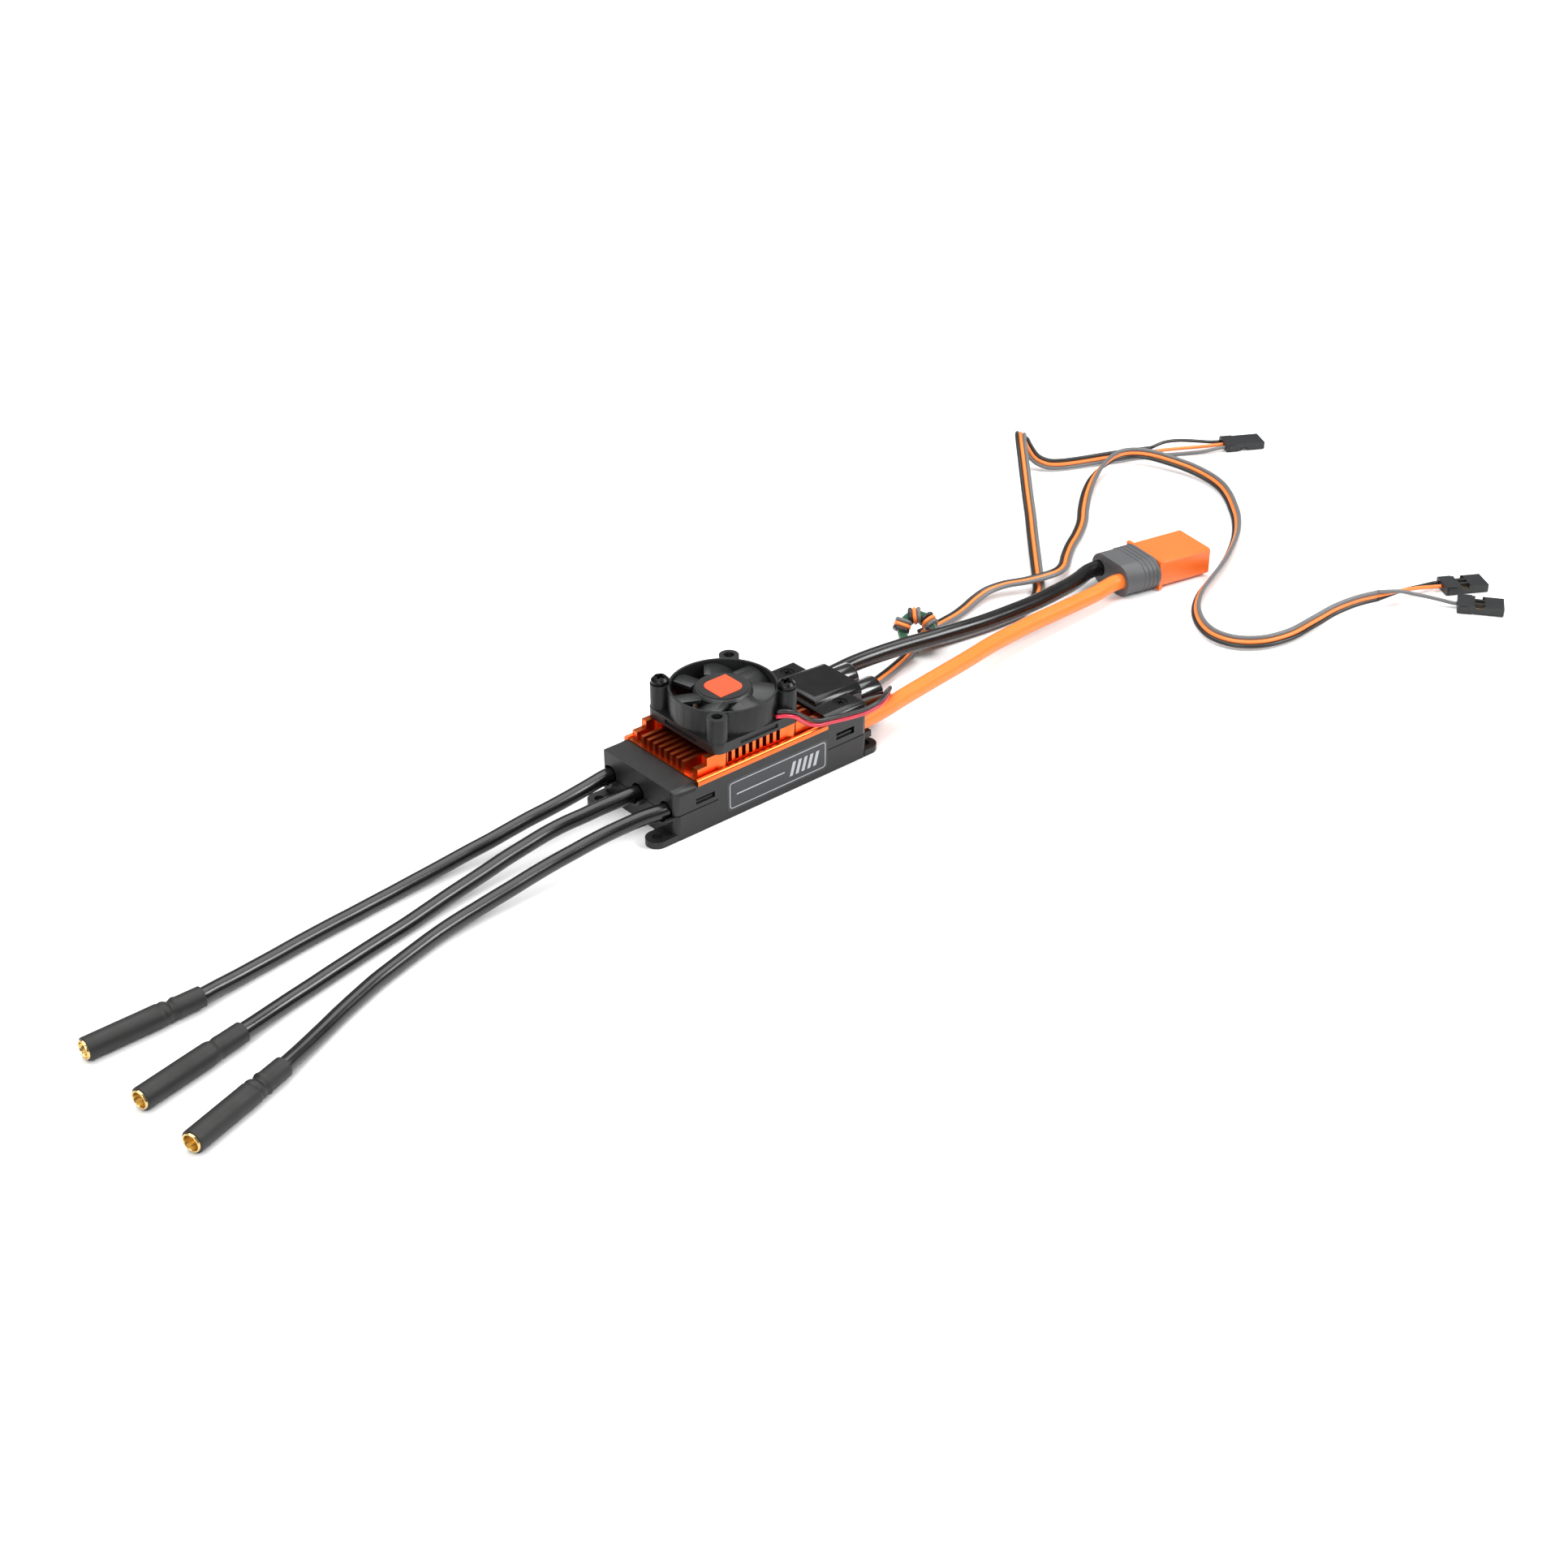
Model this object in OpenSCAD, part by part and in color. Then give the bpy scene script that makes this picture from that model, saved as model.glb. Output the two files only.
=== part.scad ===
// Electronic speed controller: cased power stage with heatsink, fan, motor leads, battery leads and
// signal ribbons. Millimetres, +Z up, +X towards the battery end, the labelled side faces -Y.

/* [Case] */
// Length of the plastic case without ears and capacitors
case_len = 68.4; // [66:0.2:76]
// Width over both side walls
case_wid = 31.7; // [31:0.1:36]
// Height of the seam between tray and caps
seam_z = 7.4; // [7:0.1:7.8]
// Height where the heatsink rails rest on the side walls
rail_z = 14.1; // [13.6:0.1:14.4]
// Wall thickness of tray and caps
wall = 1.6; // [1.4:0.1:1.8]
// Thickness of the tray floor
floor_t = 1.8; // [1.4:0.1:2]
// Radius of the upright corners
corner_r = 2; // [1:0.5:2.5]
// Top of the front cap
front_top = 15; // [14.8:0.1:16]
// Top of the two rear pads
pad_top = 17.6; // [17.2:0.1:18.4]
// Top of the rear hump at its front edge
hump_top = 19.3; // [19:0.1:20]

/* [Ears] */
// Thickness of the mounting ears
ear_t = 2; // [1.6:0.1:3]
// Radius of the round ear ends
ear_r = 3.2; // [3:0.1:3.2]
// Screw hole diameter in the ears
ear_hole = 2.6; // [2:0.1:3.2]
// Distance between front and rear ear holes
ear_span = 74; // [73:0.5:76]

/* [Heatsink] */
// Top of the inner fins
fin_top = 18.4; // [17.5:0.1:19]
// Thickness of an inner fin
fin_t = 1.1; // [0.8:0.1:1.3]
// Distance from fin to fin
fin_pitch = 2.45; // [2.3:0.05:2.5]

/* [Fan] */
// Width of the square fan
fan_w = 30; // [29:0.5:31]
// Height of the fan
fan_h = 10; // [9:0.5:12]
// Distance between the post holes
fan_holes = 24; // [24:0.5:25]
// Position of the fan along the case, from the case centre
fan_x = -4.4; // [-6:0.2:-3]
// Radius of the hub
hub_r = 8.2; // [8:0.1:9]
// Number of blades
blades = 7; // [5:1:9]

/* [Capacitors] */
// Radius of one can
can_r = 4; // [3.6:0.1:4]
// Length of one can
can_len = 18; // [17.5:0.5:20]

/* [Leads] */
// Outer diameter of a motor lead
motor_od = 4.2; // [3.6:0.1:4.6]
// Outer diameter of a battery lead
battery_od = 5; // [4.4:0.1:5]
// Bore radius of the bullet sockets
bullet_bore = 2; // [1.75:0.05:2.1]

/* [Hidden] */
$fn = 48;

L = case_len/2;
W = case_wid/2;
// the origin lies midway between the front ear tips and the capacitor ends
ear_front = -37.8;
can_end = L - 5.6 + can_len;
x_shift = -(can_end + ear_front - ear_r)/2;
front_x = -26.2;
panel_x = -19.5;
rear_x = 19.4;
lead_z = 8.4;
pack_z = 9;
can_z = 12.3;
can_x = L - 5.6;
cap_screw_x = 28;
cap_screw_y = 11.1;
board_z = 3;
board_t = 1.6;
fan_z = 20.1;
post = fan_holes/2;
ring_r = fan_w/2;

// ---- helpers
module place() {
    translate([x_shift, 0, 0]) children();
}

module block(x0, x1, y0, y1, z0, z1) {
    translate([x0, y0, z0]) cube([x1 - x0, y1 - y0, z1 - z0]);
}

module plan2d(x0, x1, w, r) {
    translate([x0 + r, -w/2]) square([x1 - x0 - 2*r, w]);
    translate([x0, -w/2 + r]) square([x1 - x0, w - 2*r]);
    for (x = [x0 + r, x1 - r], y = [-w/2 + r, w/2 - r])
        translate([x, y]) circle(r);
}

module arch2d(w, h, r) {
    translate([-w/2, 0]) square([w, h - r]);
    translate([-w/2 + r, 0]) square([w - 2*r, h]);
    for (s = [-1, 1])
        translate([s*(w/2 - r), h - r]) circle(r);
}

module along_x(x0, x1, z0) {
    translate([x0, 0, z0]) rotate([90, 0, 90]) linear_extrude(x1 - x0) children();
}

module rod_x(x0, x1, y, z, r) {
    translate([x0, y, z]) rotate([0, 90, 0]) cylinder(h = x1 - x0, r = r);
}

// ---- cord helpers: a smooth curve through hand-placed points, swept as one tube
function xyz(p) = [p[0], p[1], p[2]];
function roll_of(p) = len(p) > 3 ? p[3] : 0;
function unit(v) = v/norm(v);
function crv(a, b, c, d, t) = 0.5*((2*b) + (c - a)*t + (2*a - 5*b + 4*c - d)*t*t + (3*b - a - 3*c + d)*t*t*t);
function smooth(p, k) = [
    for (i = [0:len(p) - 2])
        for (j = [0:k - 1])
            crv(p[max(i - 1, 0)], p[i], p[i + 1], p[min(i + 2, len(p) - 1)], j/k),
    p[len(p) - 1]];
function tang(q, i) = unit(xyz(q[min(i + 1, len(q) - 1)]) - xyz(q[max(i - 1, 0)]));
function ring(q, i, a, b, n) =
    let (t = tang(q, i), s = unit(cross([0, 0, 1], t)), u = cross(t, s), r = roll_of(q[i]))
    let (w = s*cos(r) + u*sin(r), v = u*cos(r) - s*sin(r))
    [for (k = [0:n - 1]) xyz(q[i]) + w*a*cos(360*(k + 0.5)/n) + v*b*sin(360*(k + 0.5)/n)];

module cord(p, a, b, n, k) {
    q = smooth(p, k);
    m = len(q);
    pts = [for (i = [0:m - 1]) each ring(q, i, a, b, n)];
    polyhedron(pts, [
        [for (j = [0:n - 1]) j],
        for (i = [0:m - 2])
            for (j = [0:n - 1])
                each [[i*n + j, (i + 1)*n + j, (i + 1)*n + (j + 1)%n],
                    [i*n + j, (i + 1)*n + (j + 1)%n, i*n + (j + 1)%n]],
        [for (j = [n - 1:-1:0]) (m - 1)*n + j]], convexity = 10);
}

// ---- case
module ear(x, y, out) {
    translate([x, y, 0]) cylinder(h = ear_t, r = ear_r);
    block(min(x, out), max(x, out), y - ear_r, y + ear_r, 0, ear_t);
}

module tongue(x0, x1, z1, t0, t1) {
    for (s = [-1, 1]) {
        block(x0, x1, s > 0 ? W - wall - 0.9 : -(W - wall - 0.15), s > 0 ? W - wall - 0.15 : -(W - wall - 0.9),
            floor_t - 0.5, z1);
        block(x0, x1, s > 0 ? W - wall - 0.9 : -(W - wall + 0.5), s > 0 ? W - wall + 0.5 : -(W - wall - 0.9),
            floor_t - 0.5, seam_z - 0.4);
        block(x0, x1, s > 0 ? W - wall - 0.5 : -(W - 0.6), s > 0 ? W - 0.6 : -(W - wall - 0.5), t0, t1);
    }
}

module label_shape(y0, y1) {
    translate([0, y1, 6.7]) rotate([90, 0, 0]) linear_extrude(y1 - y0) plan2d(-16.3, 19.2, 9.4, 1.2);
}

module lower_case() place() color("#3c3c3e") difference() {
    union() {
        difference() {
            union() {
                linear_extrude(seam_z) plan2d(-L, L, case_wid, corner_r);
                block(panel_x, rear_x, -W, W, seam_z - 1, rail_z);
            }
            block(-L + wall, L - wall, -W + wall, W - wall, floor_t, 20);
        }
        for (y = [-1, 1]) {
            ear(ear_front, y*12.6, -L + 1);
            ear(ear_front + ear_span, y*12.6, L - 1);
        }
        for (y = [-12, 0, 12])
            difference() {
                rod_x(-L - 2, -L + 0.5, y, lead_z, 3.5);
                block(-L - 3, -L + 1, y - 5, y + 5, seam_z, 14);
            }
        for (y = [-12, 12])
            block(L - 0.5, L + 3.4, y - 1.6, y + 1.6, 4, 6);
        for (x = [-24, 0, 18], y = [-9, 9])
            translate([x, y, 1]) cylinder(h = board_z - 1, r = 1.6);
        for (y = [-1, 1])
            translate([cap_screw_x, y*cap_screw_y, 1]) cylinder(h = seam_z - 1, r = 2.2);
        tongue(-26.6, -21, 11.2, 9, 9.7);
        tongue(22.8, 28.6, 12, 9.6, 10.4);
    }
    for (x = [ear_front, ear_front + ear_span], y = [-12.6, 12.6])
        translate([x, y, -1]) cylinder(h = ear_t + 2, r = ear_hole/2);
    for (y = [-12, 0, 12])
        rod_x(-L - 3, -L + wall + 0.6, y, lead_z, motor_od/2 + 0.5);
    for (y = [-12, 12])
        rod_x(L - wall - 0.4, L + 4, y, pack_z, battery_od/2 + 0.3);
    for (y = [-1, 1])
        translate([cap_screw_x, y*cap_screw_y, floor_t + 1.5]) cylinder(h = 8, r = 0.95);
    label_shape(-W - 1, -W + 0.2);
}

// ---- the shadow groove where a cap sits on the tray
module seam_groove() difference() {
    block(-L - 1, L + 1, -W - 1, W + 1, seam_z - 1, seam_z + 0.3);
    linear_extrude(20) plan2d(-L + 0.3, L - 0.3, case_wid - 0.6, corner_r - 0.3);
}

module front_cap() place() color("#3a3a3c") difference() {
    intersection() {
        translate([0, 0, seam_z]) linear_extrude(20) plan2d(-L, L, case_wid, corner_r);
        union() {
            along_x(-L, front_x, seam_z) arch2d(case_wid, front_top - seam_z, 2);
            block(front_x - 1, panel_x, -W, -W + wall, seam_z, rail_z);
            block(front_x - 1, panel_x, W - wall, W, seam_z, rail_z);
        }
    }
    block(-L + wall, front_x + 1, -W + wall, W - wall, seam_z - 1, front_top - wall);
    for (y = [-12, 0, 12])
        rod_x(-L - 1, -L + wall + 1, y, lead_z, motor_od/2 + 0.5);
    block(-27, -20.6, -W - 1, W + 1, 8.9, 10.6);
    seam_groove();
}

module rear_cap() place() color("#1c1c1d") difference() {
    union() {
        intersection() {
            translate([0, 0, seam_z]) linear_extrude(20) plan2d(-L, L, case_wid, corner_r);
            difference() {
                along_x(rear_x, L, seam_z) arch2d(case_wid, pad_top - seam_z, 2.2);
                block(rear_x + 0.01, L - wall, -W + wall, W - wall, seam_z - 1, pad_top - wall);
            }
            translate([0, W + 1, 0]) rotate([90, 0, 0]) linear_extrude(case_wid + 2) {
                square([L - 1.8, pad_top]);
                square([L, pad_top - 1.8]);
                translate([L - 1.8, pad_top - 1.8]) circle(1.8);
            }
        }
        block(rear_x, rear_x + wall, -W + wall - 0.1, W - wall + 0.1, rail_z + 0.4, pad_top - 0.8);
        translate([21.2, 0, hump_top]) rotate([0, 2.8, 0]) intersection() {
            along_x(0, 16.9, -5.3) arch2d(18, 5.3, 2.8);
            translate([0, 10, 0]) rotate([90, 0, 0]) linear_extrude(20) {
                translate([1.6, -5.3]) square([20, 5.3]);
                translate([0, -3.4]) square([20, 1.8]);
                translate([1.6, -1.6]) circle(1.6);
            }
        }
        for (y = [-1, 1])
            translate([cap_screw_x, y*cap_screw_y, seam_z]) cylinder(h = pad_top - seam_z - 0.8, r = 2.2);
    }
    block(24, L + 2.6, -5, 5, can_z, 16.9);
    block(rear_x + wall, L - wall, -6.8, 6.8, seam_z - 1, 17);
    for (y = [-5, 5])
        rod_x(can_x - 0.3, L + 9, y, can_z, can_r + 0.15);
    for (y = [-12, 12])
        rod_x(L - wall - 0.4, L + 4, y, pack_z, battery_od/2 + 0.3);
    for (y = [-1, 1])
        translate([cap_screw_x, y*cap_screw_y, 0]) {
            cylinder(h = 30, r = 1.2);
            translate([0, 0, pad_top - 1.3]) cylinder(h = 5, r = 2);
        }
    block(22.4, 29, -W - 1, -W + wall + 0.01, 9.5, 11.6);
    block(22.4, 29, W - wall - 0.01, W + 1, 9.5, 11.6);
    seam_groove();
}

module cap_screws() place() color("#222222") {
    for (y = [-1, 1])
        translate([cap_screw_x, y*cap_screw_y, 0]) difference() {
            union() {
                translate([0, 0, floor_t + 2]) cylinder(h = pad_top - 3.3 - floor_t, r = 1);
                translate([0, 0, pad_top - 1.3]) cylinder(h = 1.15, r = 1.9);
            }
            for (a = [0, 90])
                rotate([0, 0, a + 30]) block(-1.1, 1.1, -0.25, 0.25, pad_top - 0.7, pad_top + 1);
        }
}

// ---- heatsink: rails, base, pedestal and fins in one extrusion
module fin2d(x0, x1, z0, z1, r) {
    translate([x0, z0]) square([x1 - x0 - r, z1 - z0]);
    translate([x0, z0]) square([x1 - x0, z1 - z0 - r]);
    translate([x1 - r, z1 - r]) circle(r);
}

module fin(y, t, x0, x1, z1, r) {
    translate([0, y + t/2, 0]) rotate([90, 0, 0]) linear_extrude(t) fin2d(x0, x1, 14.6, z1, r);
}

module heatsink() place() color("#c8420f") difference() {
    union() {
        block(front_x, rear_x, -13.9, 13.9, 11.5, 15.4);
        block(-20, 13, -10, 10, 8, 12);
        block(front_x, rear_x, -W + 0.9, W - 0.9, rail_z, rail_z + 0.5);
        for (s = [-1, 1]) {
            rod_x(front_x, rear_x, s*(W - 0.9), rail_z + 0.9, 0.9);
            block(front_x, rear_x, s*(W - 0.9) - 0.9, s*(W - 0.9) + 0.9, rail_z, rail_z + 0.9);
        }
        for (k = [0:3], s = [-1, 1])
            fin(s*fin_pitch*(k + 0.5), fin_t, front_x + 0.7, rear_x - 0.4, fin_top, 2.5);
        for (s = [-1, 1]) {
            fin(s*12.9, 2, front_x + 1.4, rear_x - 0.4, 17.8, 2.6);
            fin(s*12.9, 2, front_x + 4.6, 14, fan_z, 2.6);
            for (x = [fan_x - post, fan_x + post])
                translate([x, s*post, 14]) cylinder(h = fan_z - 14, r = 2.6);
        }
    }
    for (k = [0:7], s = [-1, 1])
        block(-14.4 + 2.4*k, -13.1 + 2.4*k, s*12.9 - 1.2, s*12.9 + 1.2, 16.2, fan_z + 1);
    for (s = [-1, 1])
        translate([fan_x + s*post, -s*post, 16]) cylinder(h = 10, r = 1.3);
}

// ---- inside of the case
module thermal_pad() place() color("#9aa2aa") block(-19, 12, -9.5, 9.5, 6.8, 8);

module power_board() place() color("#1f5a35") difference() {
    block(-31.8, 32.2, -12.9, 12.9, board_z, board_z + board_t);
    for (y = [-1, 1])
        translate([cap_screw_x, y*cap_screw_y, 0]) cylinder(h = 9, r = 2.5);
}

module control_board() place() color("#1f5a35") {
    block(20.6, 25, -12, 12, 10.6, 11.8);
    for (y = [-9.5, 7])
        block(21.4, 23.9, y, y + 2.5, board_z + board_t, 10.6);
}

module power_transistors() place() color("#232323") {
    for (i = [0:5], y = [-7.2, 1.6])
        block(-18 + 5*i, -13.6 + 5*i, y, y + 5.6, board_z + board_t, 6.8);
}

module solder_posts() place() color("#c0a070") {
    for (y = [-12, 0, 12])
        block(-31.6, -30.2, y - 0.9 - (y > 0 ? 1.1 : 0), y + 0.9 + (y < 0 ? 1.1 : 0), board_z + board_t, 10);
    for (s = [-1, 1])
        block(30.6, 32, s > 0 ? 10.4 : -12.8, s > 0 ? 12.8 : -10.4, board_z + board_t, 10.6);
}

module capacitor(y) place() color("#151515") {
    rod_x(can_x, can_end - 0.4, y, can_z, can_r);
    translate([can_end - 0.4, y, can_z]) rotate([0, 90, 0]) cylinder(h = 0.4, r1 = can_r, r2 = can_r - 0.4);
}

module capacitor_1() capacitor(-5);
module capacitor_2() capacitor(5);

module side_label() place() color("#4b4d52") label_shape(-W, -W + 0.2);

// ---- fan
module at_fan() {
    translate([x_shift + fan_x, 0, fan_z]) children();
}

module fan_frame() at_fan() color("#2f3032") difference() {
    union() {
        difference() {
            union() {
                linear_extrude(3) plan2d(-fan_w/2, fan_w/2, fan_w, 3);
                cylinder(h = fan_h, r = ring_r - 0.02, $fn = 72);
                for (x = [-post, post], y = [-post, post])
                    translate([x, y, 0]) cylinder(h = fan_h, r = 2.8);
            }
            translate([0, 0, -1]) cylinder(h = fan_h + 2, r = ring_r - 0.7, $fn = 72);
        }
        cylinder(h = 1.3, r = hub_r);
        cylinder(h = 6.3, r = 2.8);
        for (a = [20, 110, 200, 290])
            rotate([0, 0, a]) block(hub_r - 1, ring_r - 0.4, -0.9, 0.9, 0, 1.3);
    }
    for (x = [-post, post], y = [-post, post])
        translate([x, y, -1]) cylinder(h = fan_h + 2, r = 1.5);
    translate([0, 0, 1.1]) cylinder(h = 10, r = 2);
    for (a = [0:3])
        rotate([0, 0, 90*a]) block(-6.5, 6.5, ring_r - 0.5, ring_r + 1, 0.9, 2.2);
    block(5.6, 8, -14.4, -12.3, 2.9, 5);
}

module fan_bearing() at_fan() color("#b08a4a") difference() {
    translate([0, 0, 1.1]) cylinder(h = 5.2, r = 2);
    cylinder(h = 8, r = 0.8);
}

module fan_circuit_board() at_fan() color("#1f5a35") difference() {
    translate([0, 0, 1.3]) cylinder(h = 0.6, r = 7);
    cylinder(h = 4, r = 2.8);
}

module fan_stator() at_fan() color("#b5713c") difference() {
    union() {
        translate([0, 0, 1.9]) cylinder(h = 4.2, r = 3.8);
        intersection() {
            translate([0, 0, 2.4]) cylinder(h = 3.2, r = 6.4);
            for (a = [0, 90])
                rotate([0, 0, a]) block(-8, 8, -1.6, 1.6, 2, 6);
        }
    }
    cylinder(h = 8, r = 2.8);
}

module fan_shaft() at_fan() color("#c9ccd0") translate([0, 0, 1.3]) cylinder(h = 7.1, r = 0.75);

module fan_rotor() at_fan() color("#202123") union() {
    difference() {
        union() {
            translate([0, 0, 2.3]) cylinder(h = fan_h - 3.5, r = hub_r);
            translate([0, 0, fan_h - 1.2]) cylinder(h = 0.7, r1 = hub_r, r2 = hub_r - 0.7);
        }
        translate([0, 0, 2.2]) cylinder(h = fan_h - 3.9, r = hub_r - 1);
        translate([0, 0, 2]) cylinder(h = fan_h - 3.6, r = 0.75);
    }
    difference() {
        translate([0, 0, 6.8]) cylinder(h = fan_h - 8.5, r = 1.7);
        translate([0, 0, 2]) cylinder(h = fan_h - 3.6, r = 0.75);
    }
    intersection() {
        difference() {
            translate([0, 0, 2.5]) cylinder(h = fan_h - 3.2, r = ring_r - 1.05, $fn = 72);
            cylinder(h = fan_h + 2, r = hub_r - 0.5);
        }
        for (k = [0:blades - 1])
            rotate([0, 0, 360/blades*k]) intersection() {
                difference() {
                    rod_x(0, ring_r, 3.5, fan_h - 10.8, 10);
                    rod_x(-1, ring_r + 1, 3.5, fan_h - 10.8, 9.1);
                }
                block(hub_r - 1, ring_r, -6, 5, 2.4, fan_h);
            }
    }
}

module fan_magnet_ring() at_fan() color("#3a3a3a") difference() {
    translate([0, 0, 2.8]) cylinder(h = 4.8, r = hub_r - 1);
    cylinder(h = 12, r = hub_r - 1.5);
}

module fan_sticker() at_fan() color("#141414") translate([0, 0, fan_h - 0.5]) cylinder(h = 0.15, r = 7);

module fan_mark() at_fan() color("#e0501c")
    translate([0, 0, fan_h - 0.35]) linear_extrude(0.1) {
        plan2d(-4.5, 4.5, 9, 3);
        for (a = [0, 180])
            rotate([0, 0, a]) square([4.5, 4.5]);
    }

module fan_screws() color("#161616") {
    for (s = [-1, 1])
        at_fan() translate([s*post, -s*post, 0]) difference() {
            union() {
                translate([0, 0, -4]) cylinder(h = fan_h + 4, r = 1.4);
                translate([0, 0, fan_h]) cylinder(h = 1.1, r = 2.5);
                translate([0, 0, fan_h + 1.1]) cylinder(h = 0.8, r1 = 2.5, r2 = 1.7);
            }
            for (a = [0, 90])
                rotate([0, 0, a + 25]) block(-1.5, 1.5, -0.4, 0.4, fan_h + 0.8, fan_h + 3);
        }
}

// ---- motor leads, each a curve from its solder post to its bullet socket
end_1 = [-164, 1.9, 3.1];
dir_1 = unit([-31.2, -0.6, 0]);
end_2 = [-163.8, -16.6, 3.1];
dir_2 = unit([-31.4, -7.2, 0]);
end_3 = [-163.3, -34.2, 3.1];
dir_3 = unit([-29.6, -10.2, 0]);

route_1 = [[-31.6, 12, 8.4], [-36, 12, 8.3], [-42, 11.8, 7.6], [-49, 11.4, 7], [-55.5, 11.3, 6.4],
    [-62, 11.4, 5.8], [-68.5, 11.2, 5.2], [-74.5, 11, 4.6], [-81, 11, 4], [-87, 10.8, 3.5],
    [-93, 10.6, 3], [-99.5, 10.3, 2.6], [-105.5, 9.9, 2.3], [-112, 9.3, 2.2], [-118, 8.6, 2.2],
    [-124, 8, 2.2], [-130, 7.3, 2.2], [-136, 6.5, 2.2], [-142, 5.6, 2.2], [-148, 4.7, 2.3],
    [-154, 3.7, 2.5], [-159.5, 2.8, 2.8], end_1, end_1 + 5*dir_1, end_1 + 10*dir_1];

route_2 = [[-31.6, 0, 8.4], [-36, 0.2, 8.3], [-41, 0.6, 8], [-46, 1.2, 7.6], [-51, 1.8, 7],
    [-57, 2.5, 6.4], [-63, 2.6, 5.8], [-70, 2, 5.2], [-76.5, 1.4, 4.6], [-83, 0.5, 4],
    [-89.5, -0.4, 3.5], [-96, -1.3, 3], [-103, -2.6, 2.6], [-110, -4, 2.3], [-116.5, -5.2, 2.2],
    [-123, -6.5, 2.2], [-129, -7.8, 2.2], [-135.5, -9.2, 2.2], [-142, -10.7, 2.2], [-148, -12.1, 2.3],
    [-154, -13.7, 2.5], [-159, -15.2, 2.8], end_2, end_2 + 5*dir_2, end_2 + 10*dir_2];

route_3 = [[-31.6, -12, 8.4], [-36, -11.8, 8.4], [-42, -10.8, 8.2], [-50.5, -9.8, 7.4], [-57, -9.5, 6.8],
    [-63, -9.5, 6.2], [-69, -9.5, 5.6], [-75.5, -9.8, 5], [-82, -10.3, 4.4], [-88.5, -10.7, 3.8],
    [-94.5, -11.2, 3.3], [-100.5, -11.8, 2.9], [-107, -12.8, 2.5], [-114.5, -14.7, 2.3],
    [-121.5, -16.7, 2.2], [-128.5, -18.9, 2.2], [-135.5, -21.6, 2.2], [-142.5, -24.5, 2.2],
    [-149, -27.5, 2.3], [-156, -30.8, 2.6], [-160, -32.7, 2.9], end_3, end_3 + 5*dir_3,
    end_3 + 10*dir_3];

module motor_lead(r) place() color("#1a1a1b") cord(r, motor_od/2, motor_od/2, 10, 2);
module motor_lead_1() motor_lead(route_1);
module motor_lead_2() motor_lead(route_2);
module motor_lead_3() motor_lead(route_3);

module at_end(e, d) {
    place() translate(e) rotate([0, 0, atan2(d[1], d[0])]) rotate([0, 90, 0]) children();
}

module bullet(e, d) at_end(e, d) color("#d8a94a") difference() {
    translate([0, 0, 10]) cylinder(h = 21.2, r = 2.5);
    translate([0, 0, 16]) cylinder(h = 20, r = bullet_bore);
}

module shrink(e, d) at_end(e, d) color("#2b2926") difference() {
    union() {
        cylinder(h = 9, r1 = 2.55, r2 = 2.65);
        translate([0, 0, 9]) cylinder(h = 1.5, r1 = 2.65, r2 = 2.8);
        translate([0, 0, 10.5]) cylinder(h = 4, r1 = 2.8, r2 = 3);
        translate([0, 0, 14.5]) cylinder(h = 16.2, r = 3);
    }
    translate([0, 0, -1]) cylinder(h = 12, r = 2.12);
    translate([0, 0, 10]) cylinder(h = 22, r = 2.5);
}

module bullet_socket_1() bullet(end_1, dir_1);
module bullet_socket_2() bullet(end_2, dir_2);
module bullet_socket_3() bullet(end_3, dir_3);
module heat_shrink_1() shrink(end_1, dir_1);
module heat_shrink_2() shrink(end_2, dir_2);
module heat_shrink_3() shrink(end_3, dir_3);

// ---- battery leads and plug
plug_yaw = -10.7;
plug_o = [173.8, 6.65];
function cp(x, y, z) = [plug_o[0] + x*cos(plug_yaw) - y*sin(plug_yaw),
    plug_o[1] + x*sin(plug_yaw) + y*cos(plug_yaw), z];

route_black = [[32, 12, 9], [36, 12.2, 9], [42, 13, 9], [49, 13.8, 8.9], [56, 14.3, 8.8], [63, 14.1, 8.7],
    [70.2, 13.5, 8.6], [77, 12.6, 8.5], [83.5, 11.5, 8.4], [89.7, 10.6, 8.3], [97, 9.8, 8],
    [104.5, 9.4, 7.6], [111.7, 9.4, 7.2], [118, 9.5, 6.9], [124.5, 9.8, 6.5], [130.7, 10.3, 6.2],
    [138, 11.2, 5.9], [144.6, 12.2, 5.6], [150, 13.4, 5.4], [155.5, 15, 5.3], cp(-15.5, 5.7, 5.3),
    cp(-12.5, 5.5, 5.3), cp(-10, 5.5, 5.3)];

route_orange = [[32, -12, 9], [36, -11.8, 9], [39.7, -11.4, 8.8], [47, -10.2, 8.5], [54.8, -8.6, 8.2],
    [61, -7.5, 8], [67.5, -6.4, 7.8], [74.3, -5.3, 7.6], [81, -4.1, 7.3], [88, -2.8, 7.1],
    [95.3, -1.3, 6.8], [102, -0.3, 6.6], [109, 0.6, 6.3], [115.4, 1.3, 6.1], [122, 1.8, 5.9],
    [128, 2.1, 5.7], [134.2, 2.4, 5.6], [140.5, 2.8, 5.4], [147.1, 3.2, 5.3], [153, 4, 5.3],
    cp(-16, -5.4, 5.3), cp(-12.5, -5.5, 5.3), cp(-10, -5.5, 5.3)];

module battery_lead_black() place() color("#1a1a1b") cord(route_black, battery_od/2, battery_od/2, 10, 2);
module battery_lead_orange() place() color("#ffa045") cord(route_orange, battery_od/2, battery_od/2, 10, 2);

module at_plug() {
    place() translate([plug_o[0], plug_o[1], 5.3]) rotate([0, 0, plug_yaw]) children();
}

module stadium(x0, x1, w, h) {
    block(x0, x1, -(w - h)/2, (w - h)/2, -h/2, h/2);
    for (s = [-1, 1])
        rod_x(x0, x1, s*(w - h)/2, 0, h/2);
}

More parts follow.
